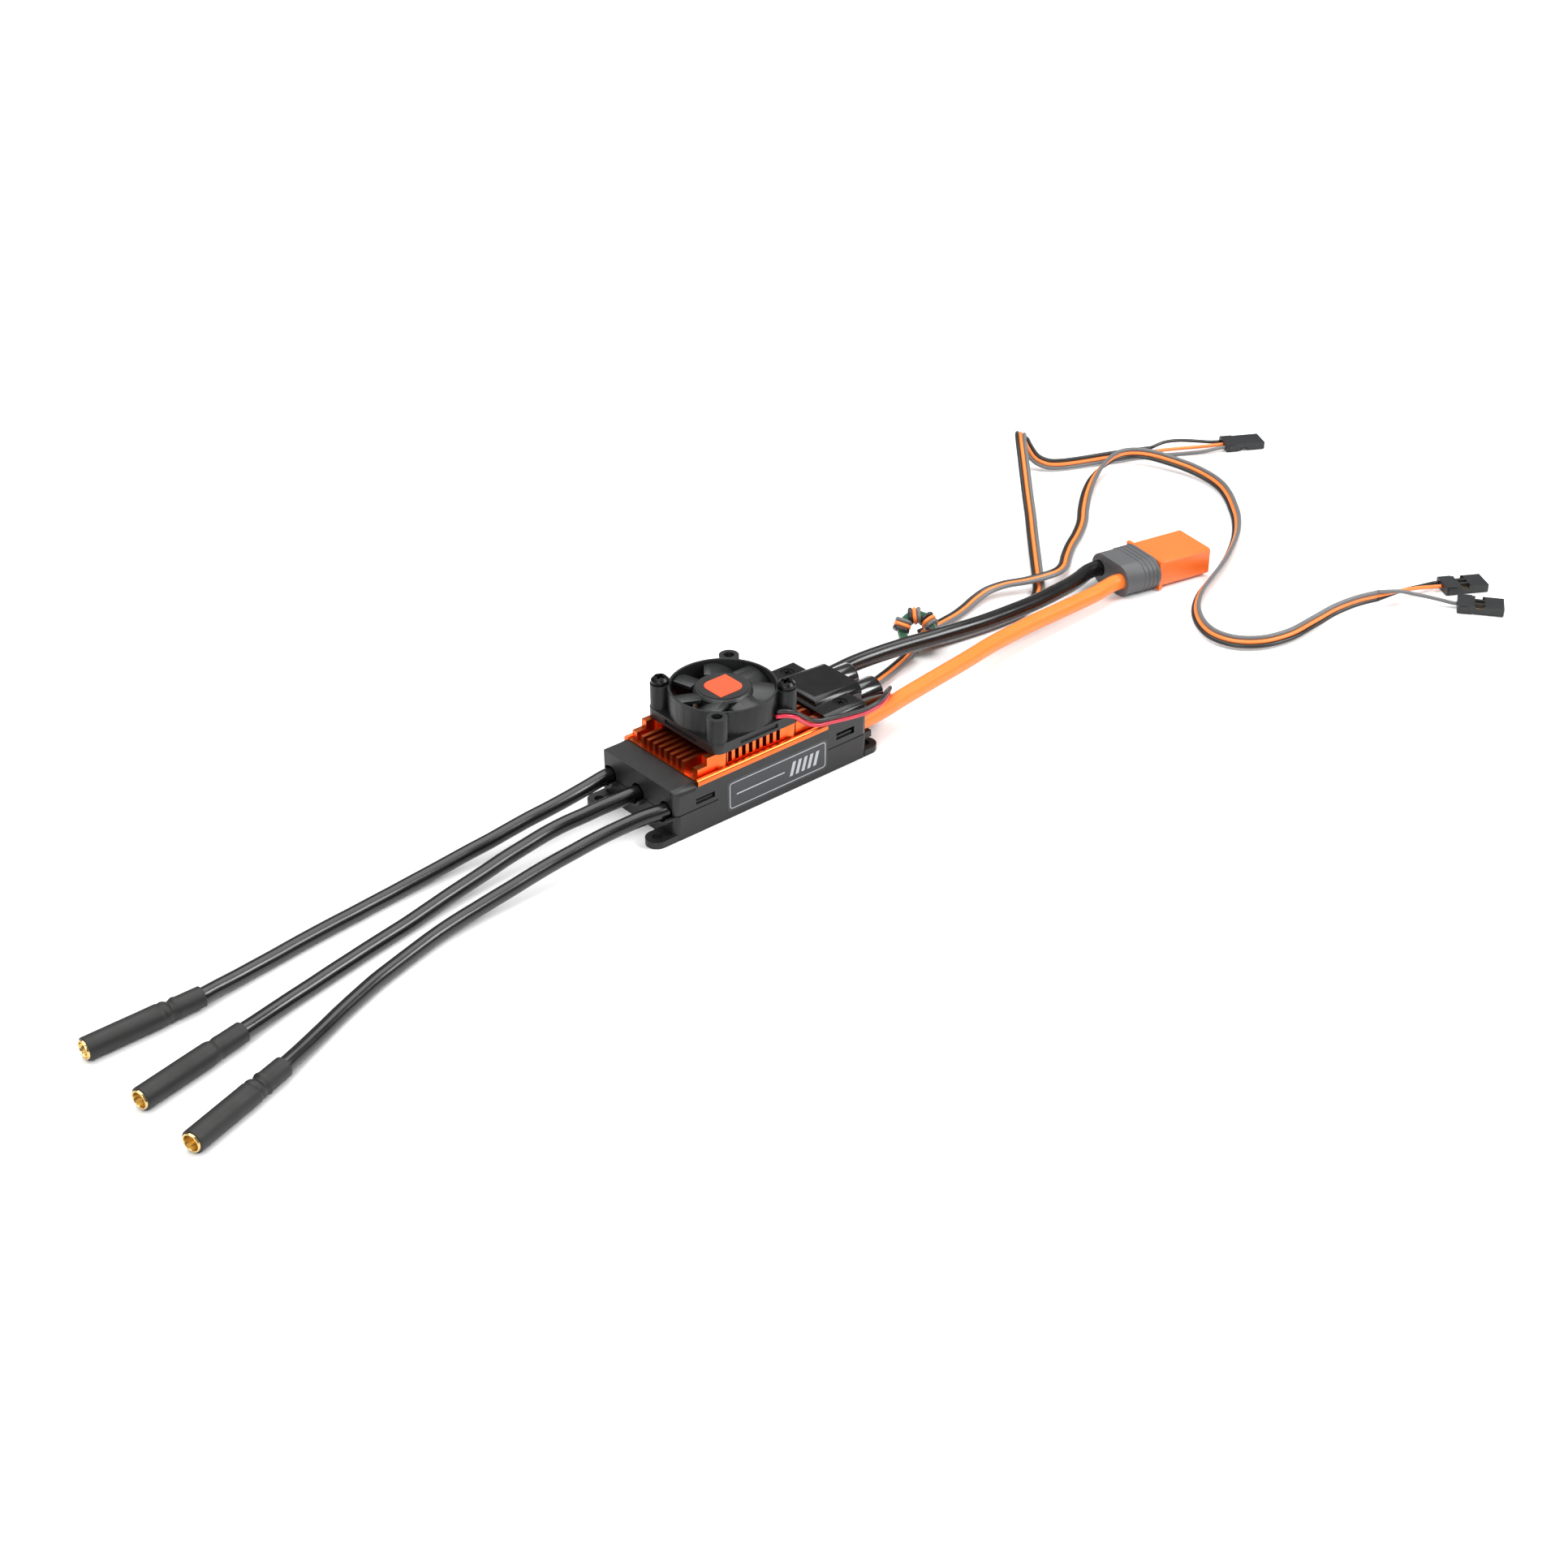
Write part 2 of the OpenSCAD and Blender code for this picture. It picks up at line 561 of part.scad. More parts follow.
module plug_boot() at_plug() color("#6f7072") difference() {
    union() {
        stadium(-14, -1.2, 19.2, 10.2);
        for (k = [0:3])
            stadium(-7.3 + 1.6*k, -6.3 + 1.6*k, 19.6, 10.6);
    }
    for (s = [-1, 1])
        rod_x(-15, -10, s*5.5, 0, battery_od/2 + 0.1);
}

module plug_shell() at_plug() color("#ff9a45") difference() {
    union() {
        block(-1.2, 0, -8.9, 8.9, -4.9, 4.9);
        along_x(0, 19, 0) plan2d(-8.1, 8.1, 8.8, 1);
    }
    block(5, 20, -6.9, 6.9, -3.1, 3.1);
}

module plug_pins() at_plug() color("#e0b050") {
    for (s = [-1, 1])
        rod_x(5, 13, s*3.6, 0, 1.75);
}

// ---- fan leads
route_red = [[2.1, -14.1, 23.8], [4.2, -15.2, 23.9], [7.1, -16.1, 22.8], [9.6, -15.8, 20.6],
    [12.6, -15.5, 18.3], [15.5, -16.3, 17.2], [20.3, -16.7, 16.6], [26.6, -16.7, 15.5],
    [32.9, -16.7, 14.8], [37.8, -16.4, 15], [41.7, -14.6, 14.6], [45, -12, 13.2], [48, -9.4, 12],
    [49.4, -6.5, 9.6], [49, -4.4, 7], [46.5, -3, 5.2], [42.5, -2.6, 4.6], [38, -2.6, 4.6], [34.2, -2.6, 4.6]];

route_dark = [[2.5, -14, 25.1], [4.4, -15, 25.2], [7.3, -15.9, 24.1], [10, -15.6, 21.9],
    [13, -15.5, 19.6], [15.8, -16.3, 18.5], [20.5, -16.7, 17.9], [26.8, -16.7, 16.8],
    [33, -16.7, 16.1], [38.2, -16.2, 16.3], [42.4, -14.1, 15.9], [46, -11.4, 14.5], [49.2, -8.6, 13.1],
    [50.8, -5.5, 10], [50.3, -3.1, 6.6], [47.4, -1.4, 4.8], [42.8, -1.2, 4.6], [38, -1.2, 4.6],
    [34.2, -1.2, 4.6]];

module fan_lead_red() place() color("#c8283c") cord(route_red, 0.6, 0.6, 8, 2);
module fan_lead_black() place() color("#161616") cord(route_dark, 0.6, 0.6, 8, 2);

// ---- signal ribbons: the fourth number turns the flat section, 0 flat and 90 on edge
route_feed = [[34.2, 3, 5, 0], [40, 3.4, 4.9, 0], [47, 4.6, 4.4, 0], [54, 6.6, 3.8, 0], [62, 9.7, 3, 0],
    [68, 11.9, 2.4, 0], [73, 13.6, 2.2, 0], [78, 15.2, 2.3, 0], [82, 16.6, 2.8, 0]];

route_a = [[89, 18.6, 2, 0], [96, 17.6, 1.2, 0], [103, 16.6, 0.9, 0], [110, 15.7, 0.8, 0], [117, 15.2, 0.8, 0],
    [124, 15.3, 0.8, 0], [131, 16.6, 0.8, 0], [137, 19, 0.8, 0], [142, 22.4, 0.9, 0], [146.6, 27.1, 1.2, 0],
    [153, 34.2, 1.8, 0], [160, 42, 2.6, 0], [167, 49.8, 3.6, 0], [173, 56.4, 4.6, 0],
    [180, 64.6, 6.6, 0], [186.5, 72.2, 8.9, 0], [193, 79.8, 11.3, 0], [199, 86.8, 13.3, 0],
    [204, 92, 13.2, 5], [207.4, 94, 10.6, 15], [208, 92, 7, 35], [208.4, 88.4, 4, 55],
    [210.5, 84.6, 2.6, 65], [214, 82, 2.3, 70], [219, 79.6, 2.3, 70], [225, 77.3, 2.3, 70],
    [232, 74.8, 2.3, 70], [239, 71.9, 2.3, 70], [246, 68.6, 2.3, 70]];

route_b = [[91, 21.6, 4, 0], [97, 23.6, 2.6, 0], [104.5, 25.6, 1.6, 0], [110, 26.6, 1.4, 0],
    [115.4, 27.8, 1.6, 0], [121, 29.2, 2.2, 0], [127, 29.8, 2.9, 0], [133, 28.4, 3.5, 0],
    [139, 25.6, 3.8, 0], [145, 23.9, 3.9, 0], [151, 23.4, 3.9, 0], [157, 26, 3.1, 0],
    [164.5, 31.8, 2, 0], [172, 37, 1.4, 0], [180, 41.6, 1.2, 0], [188, 47, 1.2, 0],
    [195.2, 53.2, 1.5, 0], [204, 60, 2.2, -10], [213, 65.6, 3, -30], [222, 69.4, 3.8, -60],
    [230, 71, 4.3, -85], [236, 69.6, 4.3, -100], [240.4, 65, 4, -115], [243, 58, 3.5, -130],
    [244.8, 50, 2.9, -130], [244.6, 42, 2.5, -130], [242.4, 34.6, 2.4, -130],
    [238.4, 27.8, 2.4, -130], [233, 21, 2.4, -130], [226.4, 13.8, 2.4, -130],
    [217.8, 6.6, 2.4, -125], [208, 0.4, 2.4, -120], [198, -4.8, 2.4, -120],
    [186.6, -9.6, 2.4, -120], [176, -14.2, 2.4, -125], [167, -20.4, 2.4, -125],
    [161, -27.8, 2.4, -125], [158.6, -35, 2.4, -125], [160.4, -42, 2.4, -125],
    [166.6, -47.4, 2.4, -125], [176.3, -49.8, 2.4, -125], [187.6, -49.5, 2.6, -120],
    [197.5, -49.6, 3.4, -105], [206, -51.3, 4.2, -95], [213, -53.5, 4.4, -90]];

module ribbon(r) color("#6a5a4a") cord(r, 2, 0.65, 8, 1);
module ribbon_feed() place() ribbon(route_feed);
module ribbon_a() place() ribbon(route_a);
module ribbon_b() place() ribbon(route_b);

// ---- ferrite ring leaning on the ribbon turns
module at_ferrite() {
    place() translate([87, 20.2, 6.5]) rotate([0, 0, -40]) rotate([50, 0, 0]) children();
}

module ferrite_ring() at_ferrite() color("#1f5a38") rotate_extrude($fn = 48)
    translate([4.5, 0]) {
        square([2.6, 3.2], center = true);
        square([1.8, 4], center = true);
        for (x = [-0.9, 0.9], y = [-1.6, 1.6])
            translate([x, y]) circle(0.4);
    }

module ribbon_turns() at_ferrite() color("#6a5a4a") {
    for (a = [160, 95, 35, -25])
        rotate([0, 0, a]) translate([4.5, 2, 0]) rotate([90, 0, 0]) linear_extrude(4) difference() {
            plan2d(-2.5, 2.4, 6.6, 1.6);
            square([2.6, 3.9], center = true);
        }
}

// ---- receiver plugs, x from the wire end to the open end
plug_a = [271.1, 57.5, -28.9];
plug_b = [238.6, -59.3, -30.6];
plug_c = [232.7, -69.5, -53.7];

module at_rx(p, flip) {
    place() translate([p[0], p[1], 1.5]) rotate([0, 0, p[2]]) rotate([flip, 0, 0]) children();
}

module rx_plug() {
    difference() {
        union() {
            block(0, 4.4, -3.95, 3.95, -1.4, 1.4);
            block(4.3, 14, -3.8, 3.8, -1.25, 1.25);
            block(0.8, 3.2, -4.2, 4.2, -1, 1);
        }
        for (y = [-2.54, 0, 2.54]) {
            block(4.6, 15, y - 0.65, y + 0.65, -0.6, 0.6);
            block(5.2, 8.2, y - 0.8, y + 0.8, 0.4, 2);
        }
        block(5.4, 7.6, -5, -3.3, 0.3, 2);
        block(5.4, 7.6, 3.3, 5, 0.3, 2);
    }
}

module rx_contacts() {
    for (y = [-2.54, 0, 2.54])
        difference() {
            block(4.6, 12.5, y - 0.55, y + 0.55, -0.6, 0.35);
            block(6.5, 13, y - 0.35, y + 0.35, -0.35, 0.15);
        }
}

module receiver_plug_a() at_rx(plug_a, 180) color("#17181a") rx_plug();
module receiver_plug_b() at_rx(plug_b, 0) color("#17181a") rx_plug();
module receiver_plug_c() at_rx(plug_c, 0) color("#17181a") rx_plug();
module plug_contacts() color("#d0a048") {
    at_rx(plug_a, 180) rx_contacts();
    at_rx(plug_b, 0) rx_contacts();
    at_rx(plug_c, 0) rx_contacts();
}

// ---- single wires between ribbon ends and receiver plugs
function rx(p, x, y) = [p[0] + x*cos(p[2]) - y*sin(p[2]), p[1] + x*sin(p[2]) + y*cos(p[2]), 1.5];

module wire(r, c) place() color(c) cord(r, 0.6, 0.6, 8, 2);
module wire_a_black() wire([[246.3, 68.95, 3.6], [252, 68.2, 4.2], [257.5, 66.4, 3.9], [263, 63.8, 3], [268, 61.4, 2],
    rx(plug_a, -1.5, 2.54), rx(plug_a, 0, 2.54)], "#1a1a1a");
module wire_a_orange() wire([[246.1, 68.55, 2.3], [252, 66, 2.2], [258, 63.2, 2], [264, 60.6, 1.7],
    rx(plug_a, -1.5, 0), rx(plug_a, 0, 0)], "#ff9a45");
module wire_a_grey() wire([[245.9, 68.15, 1], [252, 64.6, 0.8], [257.5, 61.4, 0.8], [263, 58.2, 1],
    rx(plug_a, -1.5, -2.54), rx(plug_a, 0, -2.54)], "#808080");
module wire_b_black() wire([[213.1, -53.5, 3], [220, -54.2, 3], [226, -54.8, 2.8], [232, -55.6, 2.2],
    rx(plug_b, -1.5, 2.54), rx(plug_b, 0, 2.54)], "#1a1a1a");
module wire_b_orange() wire([[213.1, -53.5, 4.4], [220, -55.6, 4.4], [226, -56.8, 3.8], [232, -57.6, 2.6],
    rx(plug_b, -1.5, 0), rx(plug_b, 0, 0)], "#ff9a45");
module wire_c_grey() wire([[213.1, -53.5, 5.8], [219.5, -57, 5.2], [224, -60, 3.8], [228, -63.6, 2.6],
    rx(plug_c, -1.5, 0), rx(plug_c, 0, 0)], "#808080");

lower_case();
front_cap();
rear_cap();
cap_screws();
heatsink();
thermal_pad();
power_board();
control_board();
power_transistors();
solder_posts();
capacitor_1();
capacitor_2();
side_label();
fan_frame();
fan_bearing();
fan_circuit_board();
fan_stator();
fan_shaft();
fan_rotor();
fan_magnet_ring();
fan_sticker();
fan_mark();
fan_screws();
motor_lead_1();
motor_lead_2();
motor_lead_3();
bullet_socket_1();
bullet_socket_2();
bullet_socket_3();
heat_shrink_1();
heat_shrink_2();
heat_shrink_3();
battery_lead_black();
battery_lead_orange();
plug_boot();
plug_shell();
plug_pins();
fan_lead_red();
fan_lead_black();
ribbon_feed();
ribbon_a();
ribbon_b();
wire_a_black();
wire_a_orange();
wire_a_grey();
wire_b_black();
wire_b_orange();
wire_c_grey();
ferrite_ring();
ribbon_turns();
receiver_plug_a();
receiver_plug_b();
receiver_plug_c();
plug_contacts();
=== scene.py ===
# %% [markdown]
# # Electronic speed controller
# The imported CAD part is the frame: its sizes stay as they are, and the cells below dress it. The frame is
# loaded first.

# %% Load the frame
import math
import bpy
import bmesh
import numpy as np
from mathutils import Matrix, Vector


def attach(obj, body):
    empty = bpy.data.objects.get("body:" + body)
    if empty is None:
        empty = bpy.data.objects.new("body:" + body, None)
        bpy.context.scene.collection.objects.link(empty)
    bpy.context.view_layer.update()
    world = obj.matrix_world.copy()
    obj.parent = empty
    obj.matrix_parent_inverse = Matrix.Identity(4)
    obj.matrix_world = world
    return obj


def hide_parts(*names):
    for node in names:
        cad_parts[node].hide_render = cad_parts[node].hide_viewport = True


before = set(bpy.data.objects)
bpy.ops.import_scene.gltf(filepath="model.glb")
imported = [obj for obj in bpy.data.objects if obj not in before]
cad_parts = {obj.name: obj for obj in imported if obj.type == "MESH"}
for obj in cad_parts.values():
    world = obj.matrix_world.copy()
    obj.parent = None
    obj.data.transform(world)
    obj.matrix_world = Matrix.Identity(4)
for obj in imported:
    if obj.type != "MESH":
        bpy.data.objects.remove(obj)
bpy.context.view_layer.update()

# %% [markdown]
# The camera stands in front of the motor end, about two thirds of a metre away, and looks down at about 32
# degrees. Its lens is a little longer than a normal one, so the long leads run off with mild perspective.

# %% Camera
cam_data = bpy.data.cameras.new("camera")
cam_data.sensor_width = 36.0
cam_data.lens = 55.9
camera = bpy.data.objects.new("camera", cam_data)
bpy.context.scene.collection.objects.link(camera)
camera.location = (-0.3668, -0.4412, 0.3498)
camera.rotation_euler = (math.radians(58.333), 0.0, math.radians(-40.825))
bpy.context.scene.camera = camera

# %% [markdown]
# All routes are written in millimetres from the middle of the case. They repeat the routes in the CAD source,
# and were measured from the photograph. X_SHIFT moves them to the frame's origin, which lies midway between
# the ears and the capacitor ends.

# %% Route helpers
X_SHIFT = -2.8
MOTOR_LEAD, BATTERY_LEAD, THIN_WIRE = 0.0042, 0.005, 0.0012


def smooth_route(points, step=1.2):
    # a Catmull-Rom curve through the points of a route; the fourth number turns a flat section
    p = np.array([list(q) + [0.0] * (4 - len(q)) for q in points], float)
    out = []
    for i in range(len(p) - 1):
        a, b, c, d = p[max(i - 1, 0)], p[i], p[i + 1], p[min(i + 2, len(p) - 1)]
        n = max(2, int(math.ceil(np.linalg.norm((c - b)[:3]) / step)))
        for t in np.arange(n) / n:
            out.append(0.5 * (2 * b + (c - a) * t + (2 * a - 5 * b + 4 * c - d) * t * t
                              + (3 * b - a - 3 * c + d) * t ** 3))
    out.append(p[-1])
    q = np.array(out)
    q[:, :3] = (q[:, :3] + [X_SHIFT, 0, 0]) / 1000.0
    return q


def route_frames(q):
    # tangent, side and upper direction at each point of a route
    t = np.gradient(q[:, :3], axis=0)
    t /= np.linalg.norm(t, axis=1)[:, None]
    s = np.cross([0, 0, 1.0], t)
    s /= np.linalg.norm(s, axis=1)[:, None]
    u = np.cross(t, s)
    r = np.radians(q[:, 3])[:, None]
    return t, s * np.cos(r) + u * np.sin(r), u * np.cos(r) - s * np.sin(r)


def link_mesh(name, verts, faces, mats, face_mats=None, smooth=True):
    mesh = bpy.data.meshes.new(name)
    mesh.from_pydata([tuple(v) for v in verts], [], faces)
    for m in mats:
        mesh.materials.append(m)
    if face_mats is not None:
        mesh.polygons.foreach_set("material_index", face_mats)
    mesh.polygons.foreach_set("use_smooth", [smooth] * len(mesh.polygons))
    mesh.update()
    obj = bpy.data.objects.new(name, mesh)
    bpy.context.scene.collection.objects.link(obj)
    return obj


def tube_data(center, w, v, radius, sides=20, closed=False):
    # one tube along given centres; radius is a number or one value for each ring
    radius = np.broadcast_to(np.asarray(radius, float), (len(center),))
    a = 2 * math.pi * np.arange(sides) / sides
    verts = (center[:, None, :] + radius[:, None, None] * (w[:, None, :] * np.cos(a)[None, :, None]
             + v[:, None, :] * np.sin(a)[None, :, None])).reshape(-1, 3)
    n = len(center)
    faces = []
    for i in range(n if closed else n - 1):
        for k in range(sides):
            j, m = (i + 1) % n, (k + 1) % sides
            faces.append((i * sides + k, i * sides + m, j * sides + m, j * sides + k))
    if not closed:
        faces.append(tuple(range(sides - 1, -1, -1)))
        faces.append(tuple((n - 1) * sides + k for k in range(sides)))
    return list(map(tuple, verts)), faces


# %% [markdown]
# One helper makes every surface. Colours are given as they look on screen and turned into linear light here.
# Grain sizes are real ones in millimetres: a moulding's texture is near 0.2 mm, smudges are 5 mm and more.

# %% Material helper
def linear(hex_colour):
    c = [int(hex_colour[i:i + 2], 16) / 255 for i in (1, 3, 5)]
    return tuple(v / 12.92 if v <= 0.04045 else ((v + 0.055) / 1.055) ** 2.4 for v in c) + (1.0,)


def add(nodes, kind, **values):
    node = nodes.new(kind)
    for key, value in values.items():
        if hasattr(node, key):
            setattr(node, key, value)
        else:
            node.inputs[key.replace("_", " ")].default_value = value
    return node


def material(name, colour, rough=0.5, metal=0.0, ior=1.5, tone=0.12, grain=0.25, bump=0.05, smudge=6.0,
             stretch=(1, 1, 1), coat=0.0, rough_spread=0.12, second=None):
    mat = bpy.data.materials.new(name)
    mat.use_nodes = True
    nodes, links = mat.node_tree.nodes, mat.node_tree.links
    bsdf = nodes["Principled BSDF"]
    bsdf.inputs["Metallic"].default_value = metal
    if metal < 0.5:
        bsdf.inputs["IOR"].default_value = ior
    bsdf.inputs["Coat Weight"].default_value = coat
    bsdf.inputs["Coat Roughness"].default_value = 0.12
    where = add(nodes, "ShaderNodeTexCoord")
    squeeze = add(nodes, "ShaderNodeMapping")
    squeeze.inputs["Scale"].default_value = stretch
    links.new(where.outputs["Object"], squeeze.inputs["Vector"])
    fine = add(nodes, "ShaderNodeTexNoise", Scale=1000.0 / grain, Detail=3.0, Roughness=0.6)
    wide = add(nodes, "ShaderNodeTexNoise", Scale=1000.0 / smudge, Detail=4.0, Roughness=0.55)
    links.new(squeeze.outputs["Vector"], fine.inputs["Vector"])
    links.new(where.outputs["Object"], wide.inputs["Vector"])
    ramp = add(nodes, "ShaderNodeMix", data_type="RGBA")
    base = linear(colour)
    dark = tuple(v * (1 - tone) for v in base[:3]) + (1.0,)
    light = linear(second) if second else tuple(min(1.0, v * (1 + tone)) for v in base[:3]) + (1.0,)
    ramp.inputs[6].default_value = dark
    ramp.inputs[7].default_value = light
    links.new(wide.outputs["Fac"], ramp.inputs["Factor"])
    links.new(ramp.outputs[2], bsdf.inputs["Base Color"])
    spread = add(nodes, "ShaderNodeMapRange")
    spread.inputs["To Min"].default_value = max(0.02, rough - rough_spread)
    spread.inputs["To Max"].default_value = min(1.0, rough + rough_spread)
    links.new(wide.outputs["Fac"], spread.inputs["Value"])
    links.new(spread.outputs["Result"], bsdf.inputs["Roughness"])
    relief = add(nodes, "ShaderNodeBump", Strength=bump, Distance=0.0001)
    links.new(fine.outputs["Fac"], relief.inputs["Height"])
    links.new(relief.outputs["Normal"], bsdf.inputs["Normal"])
    return mat

# %% [markdown]
# Silicone insulation is extruded and comes out with a soft wet-looking skin. Black leads give the eye long
# white lines of light; the orange one glows, because light enters the rubber.

# %% Cord materials
silicone_black = material("black_silicone_extruded", "#090909", rough=0.27, ior=1.43, tone=0.25, grain=0.5,
                          bump=0.06, smudge=9.0, stretch=(0.15, 1, 1), coat=0.25)
silicone_orange = material("orange_silicone_extruded", "#ee7a2a", rough=0.4, ior=1.43, tone=0.05, grain=0.5,
                           bump=0.05, smudge=9.0, stretch=(0.15, 1, 1), coat=0.1)
silicone_orange.node_tree.nodes["Principled BSDF"].inputs["Subsurface Weight"].default_value = 0.3
silicone_orange.node_tree.nodes["Principled BSDF"].inputs["Subsurface Scale"].default_value = 0.002
pvc_black = material("black_wire_pvc", "#151515", rough=0.38, tone=0.2, grain=0.3, bump=0.04, coat=0.1)
pvc_orange = material("orange_wire_pvc", "#ee8038", rough=0.42, tone=0.05, grain=0.3, bump=0.04)
pvc_grey = material("grey_wire_pvc", "#636364", rough=0.4, tone=0.08, grain=0.3, bump=0.04)
pvc_red = material("red_wire_pvc", "#c3203a", rough=0.35, tone=0.1, grain=0.3, bump=0.04, coat=0.1)

# %% [markdown]
# The three motor leads leave the front cap side by side, dip to the table and spread apart. Each is a 4.2 mm
# silicone wire that ends inside its bullet socket.

# %% Motor leads
END_1, END_2, END_3 = (-164, 1.9, 3.1), (-163.8, -16.6, 3.1), (-163.3, -34.2, 3.1)
DIR_1, DIR_2, DIR_3 = [np.array(d) / np.linalg.norm(d) for d in
                       ((-31.2, -0.6, 0.0), (-31.4, -7.2, 0.0), (-29.6, -10.2, 0.0))]


def socket_end(end, direction):
    return [tuple(np.array(end) + k * direction) for k in (0, 5, 10)]


route_1 = [(-31.6, 12, 8.4), (-36, 12, 8.3), (-42, 11.8, 7.6), (-49, 11.4, 7), (-55.5, 11.3, 6.4),
           (-62, 11.4, 5.8), (-68.5, 11.2, 5.2), (-74.5, 11, 4.6), (-81, 11, 4), (-87, 10.8, 3.5),
           (-93, 10.6, 3), (-99.5, 10.3, 2.6), (-105.5, 9.9, 2.3), (-112, 9.3, 2.2), (-118, 8.6, 2.2),
           (-124, 8, 2.2), (-130, 7.3, 2.2), (-136, 6.5, 2.2), (-142, 5.6, 2.2), (-148, 4.7, 2.3),
           (-154, 3.7, 2.5), (-159.5, 2.8, 2.8)] + socket_end(END_1, DIR_1)
route_2 = [(-31.6, 0, 8.4), (-36, 0.2, 8.3), (-41, 0.6, 8), (-46, 1.2, 7.6), (-51, 1.8, 7),
           (-57, 2.5, 6.4), (-63, 2.6, 5.8), (-70, 2, 5.2), (-76.5, 1.4, 4.6), (-83, 0.5, 4),
           (-89.5, -0.4, 3.5), (-96, -1.3, 3), (-103, -2.6, 2.6), (-110, -4, 2.3), (-116.5, -5.2, 2.2),
           (-123, -6.5, 2.2), (-129, -7.8, 2.2), (-135.5, -9.2, 2.2), (-142, -10.7, 2.2),
           (-148, -12.1, 2.3), (-154, -13.7, 2.5), (-159, -15.2, 2.8)] + socket_end(END_2, DIR_2)
route_3 = [(-31.6, -12, 8.4), (-36, -11.8, 8.4), (-42, -10.8, 8.2), (-50.5, -9.8, 7.4), (-57, -9.5, 6.8),
           (-63, -9.5, 6.2), (-69, -9.5, 5.6), (-75.5, -9.8, 5), (-82, -10.3, 4.4), (-88.5, -10.7, 3.8),
           (-94.5, -11.2, 3.3), (-100.5, -11.8, 2.9), (-107, -12.8, 2.5), (-114.5, -14.7, 2.3),
           (-121.5, -16.7, 2.2), (-128.5, -18.9, 2.2), (-135.5, -21.6, 2.2), (-142.5, -24.5, 2.2),
           (-149, -27.5, 2.3), (-156, -30.8, 2.6), (-160, -32.7, 2.9)] + socket_end(END_3, DIR_3)


def round_wire(name, route, diameter, mat, node, sides=20):
    q = smooth_route(route)
    t, w, v = route_frames(q)
    verts, faces = tube_data(q[:, :3], w, v, diameter / 2, sides)
    obj = link_mesh(name, verts, faces, [mat])
    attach(obj, "controller")
    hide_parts(node)
    return obj, q


def round_cord(name, route, diameter, mat, node, sides=20):
    obj, q = round_wire(name, route, diameter, mat, node, sides)
    return obj


for number, route in enumerate((route_1, route_2, route_3), 1):
    lead = round_cord("motor_lead_%d_wire" % number, route, MOTOR_LEAD, silicone_black,
                      "motor_lead_%d" % number)

# %% [markdown]
# Two thicker leads bring the battery current: black at the far side, orange at the near side. They come down
# in a long easy arc and go into the grey boot of the battery plug, which is turned a little.

# %% Battery leads
PLUG_YAW = math.radians(-10.7)


def plug_point(x, y, z):
    return (173.8 + x * math.cos(PLUG_YAW) - y * math.sin(PLUG_YAW),
            6.65 + x * math.sin(PLUG_YAW) + y * math.cos(PLUG_YAW), z)


route_black = [(32, 12, 9), (36, 12.2, 9), (42, 13, 9), (49, 13.8, 8.9), (56, 14.3, 8.8), (63, 14.1, 8.7),
               (70.2, 13.5, 8.6), (77, 12.6, 8.5), (83.5, 11.5, 8.4), (89.7, 10.6, 8.3), (97, 9.8, 8),
               (104.5, 9.4, 7.6), (111.7, 9.4, 7.2), (118, 9.5, 6.9), (124.5, 9.8, 6.5), (130.7, 10.3, 6.2),
               (138, 11.2, 5.9), (144.6, 12.2, 5.6), (150, 13.4, 5.4), (155.5, 15, 5.3),
               plug_point(-15.5, 5.7, 5.3), plug_point(-12.5, 5.5, 5.3), plug_point(-10, 5.5, 5.3)]
route_orange = [(32, -12, 9), (36, -11.8, 9), (39.7, -11.4, 8.8), (47, -10.2, 8.5), (54.8, -8.6, 8.2),
                (61, -7.5, 8), (67.5, -6.4, 7.8), (74.3, -5.3, 7.6), (81, -4.1, 7.3), (88, -2.8, 7.1),
                (95.3, -1.3, 6.8), (102, -0.3, 6.6), (109, 0.6, 6.3), (115.4, 1.3, 6.1), (122, 1.8, 5.9),
                (128, 2.1, 5.7), (134.2, 2.4, 5.6), (140.5, 2.8, 5.4), (147.1, 3.2, 5.3), (153, 4, 5.3),
                plug_point(-16, -5.4, 5.3), plug_point(-12.5, -5.5, 5.3), plug_point(-10, -5.5, 5.3)]
lead = round_cord("battery_lead_black_wire", route_black, BATTERY_LEAD, silicone_black,
                  "battery_lead_black")
lead = round_cord("battery_lead_orange_wire", route_orange, BATTERY_LEAD, silicone_orange,
                  "battery_lead_orange")

# %% [markdown]
# The fan's own two wires are thin. They come out at the foot of the right-hand post, run along the side of
# the rear cap, cross the orange lead and turn back under the capacitors to the board.

